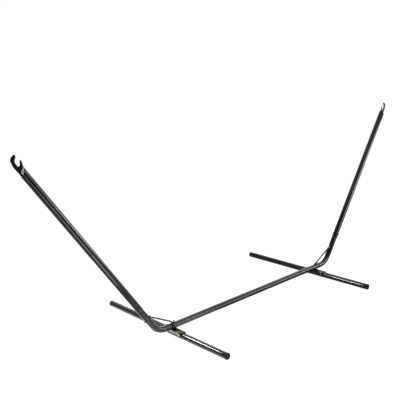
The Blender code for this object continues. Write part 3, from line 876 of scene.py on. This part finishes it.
def make_label():
    """Blank paper label on the outboard shoulder of the left saddle, wrapped up round its bend."""
    low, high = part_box("left_saddle")
    radius = SADDLE_BEND + SADDLE_SHEET
    bend_x, bend_z = low.x + radius, high.z - radius
    up_step, along_step = LABEL_STEPS
    section = [(low.x, z, 180.0) for z in spaced(bend_z - LABEL_BELOW_BEND, bend_z, up_step)[:-1]]
    for turn in spaced(180.0, 180.0 - LABEL_WRAP, LABEL_TURN):
        section.append((bend_x + radius * math.cos(math.radians(turn)),
                        bend_z + radius * math.sin(math.radians(turn)), turn))
    rings = []
    for y in spaced(BEAM.y - LABEL_FRONT, BEAM.y - LABEL_FRONT + LABEL_LENGTH, along_step):
        outer, inner = [], []
        for x, z, turn in section:
            way = Vector((math.cos(math.radians(turn)), 0, math.sin(math.radians(turn))))
            place = Vector((x, y, z))
            outer.append(place + way * (LABEL_LIFT + LABEL_THICKNESS))
            inner.append(place + way * LABEL_LIFT)
        rings.append(outer + list(reversed(inner)))
    mesh = finished(skin(rings, False), "blank_label", LABEL_SHARP)
    piece("blank_label", mesh, "left_foot", [], [PAPER])


for label, _ in SIDES:
    make_saddle(label)
    for end, way in ENDS:
        make_cap(label, end, way)
make_label()

# --- Hooks and plugs ----------------------------------------------------------------------------------


def end_height(y):
    """Where the arm's slanted end crosses the line at y."""
    return -END_CUT_BACK - y * END_CUT


def slot_height(y):
    """Lower edge of the hook above the slot that runs in from the arm's inner side."""
    return end_height(y) + SLOT_BESIDE_RIM + SLOT_SPREAD * (y + ARM_RADIUS)


def hook_outline():
    """The hook in the arm's plane: x up the arm from the middle of its end, y outward, then rounding."""
    tongue_end = end_height(0) - TONGUE_LENGTH
    neck = [
        (tongue_end, TONGUE_INNER, 0.004),
        (end_height(TONGUE_INNER) - PLUG_DEPTH, TONGUE_INNER, 0.001),
        (end_height(NECK_INNER) - PLUG_DEPTH, NECK_INNER, 0.001),
        (slot_height(NECK_INNER), NECK_INNER, 0.002),
        (slot_height(-ARM_RADIUS), -ARM_RADIUS, 0.002),
    ]
    prong = [(0.028, -0.0300, 0.012), (0.047, -0.0350, 0.0022), (0.042, -0.0255, 0.005)]
    throat = [(0.0245, -0.0130, 0.006), (0.0245, 0.0010, 0.007)]
    finger = [(0.058, -0.0010, 0.020), (0.075, -0.0250, 0.007), (0.090, -0.0270, 0.0065),
              (0.087, 0.0100, 0.026), (0.040, 0.0210, 0.040)]
    back = [(end_height(TONGUE_OUTER), TONGUE_OUTER, 0.008), (tongue_end, TONGUE_OUTER, 0.004)]
    return rounded(neck + prong + throat + finger + back)


def make_hook(arm):
    name = arm.label + "_hook_claw"
    thickness = size_of(arm.label + "_hook").y
    mesh = plate(name, hook_outline(), thickness, HOOK_EDGE, arm.matrix(ARM_REACH), HOOK_EDGE_STEPS)
    piece(name, mesh, "frame", [arm.label + "_hook"], [VINYL])


for arm in ARMS:
    make_hook(arm)
    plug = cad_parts[arm.label + "_arm_plug"]
    plug.data.materials.clear()
    plug.data.materials.append(PALE)

# --- Fasteners ----------------------------------------------------------------------------------------


def hexagon(flats, height):
    """Hexagonal ring of points at a height, which may be a number or a function of the radius."""
    ring = []
    for k in range(FASTENER_SIDES):
        turn = 2 * math.pi * k / FASTENER_SIDES
        off = (turn + math.pi / 6) % (math.pi / 3) - math.pi / 6
        radius = flats / 2 / math.cos(off)
        z = height(radius) if callable(height) else height
        ring.append(Vector((radius * math.cos(turn), radius * math.sin(turn), z)))
    return ring


def disc(radius, z):
    """Round ring of points at a height."""
    radius = max(radius, NO_RADIUS)
    turns = [2 * math.pi * k / FASTENER_SIDES for k in range(FASTENER_SIDES)]
    return [Vector((radius * math.cos(turn), radius * math.sin(turn), z)) for turn in turns]


def bolt_shape(flats, head, radius, length, pitch):
    """Hex bolt with a washer face, chamfered head and a rolled thread, head up from Z = 0."""
    flat_circle = flats / 2 * FACE_SHARE
    rings = [disc(0.0, head - HEAD_DISH), disc(flat_circle * DISH_INNER, head - HEAD_DISH),
             disc(flat_circle * DISH_OUTER, head), disc(flat_circle, head),
             hexagon(flats, lambda r: head - (r - flat_circle) * CHAMFER),
             hexagon(flats, WASHER_FACE), disc(flat_circle, WASHER_FACE), disc(flat_circle, 0.0),
             disc(radius, 0.0)]
    threaded = min(length * THREAD_SHARE, THREAD_LIMIT)
    start = -(length - threaded)
    rings.append(disc(radius, start))
    depth = THREAD_DEPTH * pitch
    steps = int(threaded / pitch * THREAD_TURN)
    for k in range(steps + 1):
        z = start - threaded * k / steps
        fade = min(1.0, 2 * k / THREAD_TURN, 2 * (steps - k) / THREAD_TURN + THREAD_RUN_OUT)
        ring = []
        for j in range(FASTENER_SIDES):
            turn = 2 * math.pi * j / FASTENER_SIDES
            phase = (z / pitch + turn / (2 * math.pi)) % 1.0
            groove = max(0.0, 1 - abs(phase - 0.5) * 2 - THREAD_CREST) * depth * fade
            ring.append(Vector(((radius - groove) * math.cos(turn), (radius - groove) * math.sin(turn), z)))
        rings.append(ring)
    rings.append(disc(radius * BOLT_TIP, -length))
    rings.append(disc(0.0, -length))
    return skin(rings, False)


def nut_shape(flats, height, radius):
    """Hex nut, both faces chamfered and the bore countersunk, upper face at Z = 0."""
    flat_circle = flats / 2 * FACE_SHARE
    mouth = radius + COUNTERSINK_WIDTH
    rings = [disc(radius, -COUNTERSINK_DEPTH), disc(mouth, 0.0), disc(flat_circle, 0.0),
             hexagon(flats, lambda r: -(r - flat_circle) * CHAMFER),
             hexagon(flats, lambda r: -height + (r - flat_circle) * CHAMFER),
             disc(flat_circle, -height), disc(mouth, -height), disc(radius, -height + COUNTERSINK_DEPTH)]
    return skin(rings, True)


def washer_shape(outer, inner, height):
    """Flat washer with soft edges, upper face at Z = 0."""
    soft = WASHER_SOFT
    rings = [disc(inner, -soft), disc(inner + soft, 0.0), disc(outer - soft, 0.0), disc(outer, -soft),
             disc(outer, -height + soft), disc(outer - soft, -height), disc(inner + soft, -height),
             disc(inner, -height + soft)]
    return skin(rings, True)


def seat(node, direction, thickness):
    """Matrix that puts a fastener's Z = 0 plane on a CAD node, its +Z along a direction.

    thickness is how far the fastener reaches above that plane."""
    low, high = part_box(node)
    direction = Vector(direction).normalized()
    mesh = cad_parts[node].data
    top = max(v.co.dot(direction) for v in mesh.vertices)
    centre = (low + high) / 2
    centre += direction * (top - thickness - centre.dot(direction))
    return Matrix.Translation(centre) @ direction.to_track_quat("Z", "Y").to_matrix().to_4x4()


def length_of(node, direction):
    along = [v.co.dot(Vector(direction).normalized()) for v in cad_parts[node].data.vertices]
    return max(along) - min(along)


def place_bolt(node, kind, direction, body, material):
    shank = length_of(node, direction) - kind["head"]
    shape = bolt_shape(kind["flats"], kind["head"], kind["radius"], shank, kind["pitch"])
    shape.transform(seat(node, direction, kind["head"]))
    mesh = finished(shape, node + "_hex", FASTENER_SHARP)
    piece(node + "_hex", mesh, body, [node], [material])


def place_nut(node, kind, direction, body):
    shape = nut_shape(kind["flats"], kind["nut"], kind["radius"] + GAP / 2)
    shape.transform(seat(node, direction, 0.0))
    mesh = finished(shape, node + "_hex", FASTENER_SHARP)
    piece(node + "_hex", mesh, body, [node], [ZINC])


for arm in ARMS:
    label = arm.label
    foot_body = label + "_foot"
    place_bolt(label + "_main_bolt", M8, UP, "frame", OXIDE)
    place_nut(label + "_main_nut", M8, UP, foot_body)
    low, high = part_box(label + "_main_washer")
    shape = washer_shape((high.x - low.x) / 2, M8["radius"] + GAP, high.z - low.z)
    shape.transform(seat(label + "_main_washer", UP, 0.0))
    piece(label + "_main_washer_ring", finished(shape, "washer"), "frame", [label + "_main_washer"],
          [ZINC])
    place_bolt(label + "_brace_bolt", M8, -arm.outward, "frame", ZINC)
    place_nut(label + "_brace_nut", M8, -arm.outward, "frame")
    place_bolt(label + "_joint_bolt", M8, -ACROSS, "frame", OXIDE)
    place_nut(label + "_joint_nut", M8, -ACROSS, "frame")
    for end, _ in ENDS:
        place_bolt(f"{label}_{end}_saddle_bolt", M6, (-1, 0, 0), foot_body, ZINC)
        place_nut(f"{label}_{end}_saddle_nut", M6, (-1, 0, 0), foot_body)

# --- Stage and light ----------------------------------------------------------------------------------

FLOOR = [(-2.6, -2.2), (2.6, -2.2), (2.6, 1.6), (-2.6, 1.6)]
NEAR = [(-1.02, -0.62), (-0.30, -0.62), (-0.30, 0.60), (-1.02, 0.60)]
CARD = [(-1.06, -0.67), (-1.36, -0.43), (-2.20, -1.48), (-1.90, -1.72)]
FLOOR_DROP = 0.0002                   # floor below the soles; the part near the left bend lies higher
NEAR_DROP = 0.0001
CARD_RISE = 0.0002
BACKDROP_GLOW = 1.02
ROOM_GLOW = 1.5
ROOM_DIM = (0.05, (0.015, 0.015, 0.016, 1.0))
ROOM_BRIGHT = (0.85, (1.0, 0.98, 0.96, 1.0))
BRIGHT_WAY = Vector((0.80, 0.55, 0.15)).normalized()


def make_ground(name, corners, material, height):
    mesh = bpy.data.meshes.new(name)
    mesh.from_pydata([(x, y, height) for x, y in corners], [], [tuple(range(len(corners)))])
    mesh.materials.append(material)
    ground = bpy.data.objects.new(name, mesh)
    bpy.context.scene.collection.objects.link(ground)


def softbox(name, place, target, size, watts):
    data = bpy.data.lights.new(name, "AREA")
    data.shape = "RECTANGLE"
    data.size, data.size_y = size
    data.energy = watts
    light = bpy.data.objects.new(name, data)
    light.location = place
    light.rotation_euler = (Vector(target) - Vector(place)).to_track_quat("-Z", "Y").to_euler()
    bpy.context.scene.collection.objects.link(light)


def make_world():
    """White backdrop to the camera; to the object, a dim room that is brighter behind on the right.

    Each of the room's two tones is set by where it starts, from 1 straight toward the bright side."""
    world = bpy.data.worlds.new("studio")
    bpy.context.scene.world = world
    world.use_nodes = True
    tree = world.node_tree
    tree.nodes.clear()
    output = tree.nodes.new("ShaderNodeOutputWorld")
    white = tree.nodes.new("ShaderNodeBackground")
    white.inputs["Color"].default_value = (1.0, 1.0, 1.0, 1.0)
    white.inputs["Strength"].default_value = BACKDROP_GLOW
    room = tree.nodes.new("ShaderNodeBackground")
    room.inputs["Strength"].default_value = ROOM_GLOW
    place = tree.nodes.new("ShaderNodeTexCoord")
    toward = tree.nodes.new("ShaderNodeVectorMath")
    toward.operation = "DOT_PRODUCT"
    toward.inputs[1].default_value = BRIGHT_WAY
    tree.links.new(place.outputs["Generated"], toward.inputs[0])
    ramp = tree.nodes.new("ShaderNodeValToRGB")
    for stop, (position, colour) in zip(ramp.color_ramp.elements, (ROOM_DIM, ROOM_BRIGHT)):
        stop.position = position
        stop.color = colour
    tree.links.new(toward.outputs["Value"], ramp.inputs["Fac"])
    tree.links.new(ramp.outputs["Color"], room.inputs["Color"])
    seen = tree.nodes.new("ShaderNodeLightPath")
    choose = tree.nodes.new("ShaderNodeMixShader")
    tree.links.new(seen.outputs["Is Camera Ray"], choose.inputs["Fac"])
    tree.links.new(room.outputs["Background"], choose.inputs[1])
    tree.links.new(white.outputs["Background"], choose.inputs[2])
    tree.links.new(choose.outputs["Shader"], output.inputs["Surface"])


make_ground("floor", FLOOR, pale_floor("floor", FLOOR_REFLECTED), cad_low.z - FLOOR_DROP)
make_ground("floor_near", NEAR, pale_floor("floor_near", NEAR_REFLECTED), cad_low.z - NEAR_DROP)
make_ground("card", CARD, lit_card(), cad_low.z + CARD_RISE)
make_world()
softbox("strip_behind", (-1.8, 1.45, 1.75), (-0.3, -0.3, 0.1), (0.40, 0.55), 50)
softbox("box_front", (2.3, -2.3, 0.85), (0.1, -0.1, 0.1), (2.6, 0.45), 40)
softbox("box_side", (1.55, -2.8, 1.85), (1.4, -0.1, 0.7), (1.0, 1.3), 14)
softbox("box_above", (0.2, 0.0, 3.2), (0.2, 0.0, 0.0), (2.4, 1.8), 10)

bpy.context.scene.view_settings.view_transform = "Standard"
